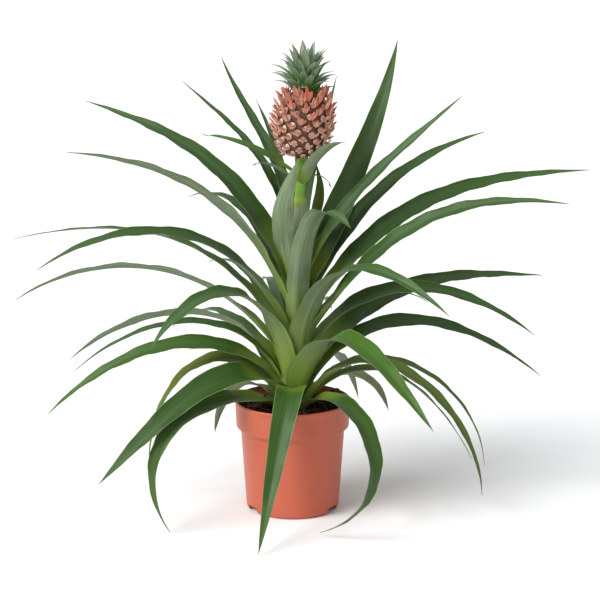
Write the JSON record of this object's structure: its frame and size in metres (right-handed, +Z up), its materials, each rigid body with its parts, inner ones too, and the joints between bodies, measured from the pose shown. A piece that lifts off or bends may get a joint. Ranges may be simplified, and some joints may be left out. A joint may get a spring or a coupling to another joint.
{
  "type": "potted pineapple plant",
  "caption": "Young ornamental pineapple in a plain round nursery pot: arching sword leaves round a stalk that carries a small ripening fruit with a leafy crown.",
  "frame": {"origin": "centre of the pot's flat underside, on the surface it stands on", "axes": "+Z up through the pot; +X to the right and -Y towards the viewer of the plant's front, the side with the leaf that hangs over the rim"},
  "size_m": [0.6079, 0.4073, 0.4876],
  "materials": {
    "pot_plastic": "satin",
    "potting_soil": "matte",
    "stem_bark": "matte",
    "flower_stalk": "satin",
    "fruit_skin": "satin",
    "crown_leaf": "satin",
    "dead_fibre": "matte",
    "leaf": "satin",
    "bract": "satin"
  },
  "bodies": {
    "root": {"pot": "pot_plastic", "soil": "potting_soil", "stem": "stem_bark", "flower_stalk": "flower_stalk", "fruit": "fruit_skin", "crown": "crown_leaf", "old_leaf_stub": "dead_fibre", "bark_lump": "dead_fibre", "leaf_01": "leaf", "leaf_02": "leaf", "leaf_03": "leaf", "leaf_04": "leaf", "leaf_05": "leaf", "leaf_06": "leaf", "leaf_07": "leaf", "leaf_08": "leaf", "leaf_09": "leaf", "leaf_10": "leaf", "leaf_11": "leaf", "leaf_12": "leaf", "leaf_13": "leaf", "leaf_14": "leaf", "leaf_15": "leaf", "leaf_16": "leaf", "leaf_17": "leaf", "leaf_18": "leaf", "leaf_19": "leaf", "leaf_20": "leaf", "leaf_21": "leaf", "leaf_22": "leaf", "leaf_23": "leaf", "leaf_24": "leaf", "leaf_25": "leaf", "leaf_26": "leaf", "leaf_27": "leaf", "leaf_28": "leaf", "leaf_29": "leaf", "leaf_30": "leaf", "leaf_31": "leaf", "leaf_32": "leaf", "leaf_33": "leaf", "leaf_34": "leaf", "leaf_35": "leaf", "leaf_36": "leaf", "leaf_37": "leaf", "leaf_38": "leaf", "leaf_39": "leaf", "leaf_40": "leaf", "leaf_41": "leaf", "leaf_42": "leaf", "leaf_43": "leaf", "leaf_44": "leaf", "bract_1": "bract", "bract_2": "bract", "bract_3": "bract", "bract_4": "bract", "bract_5": "bract"}
  },
  "joints": []
}
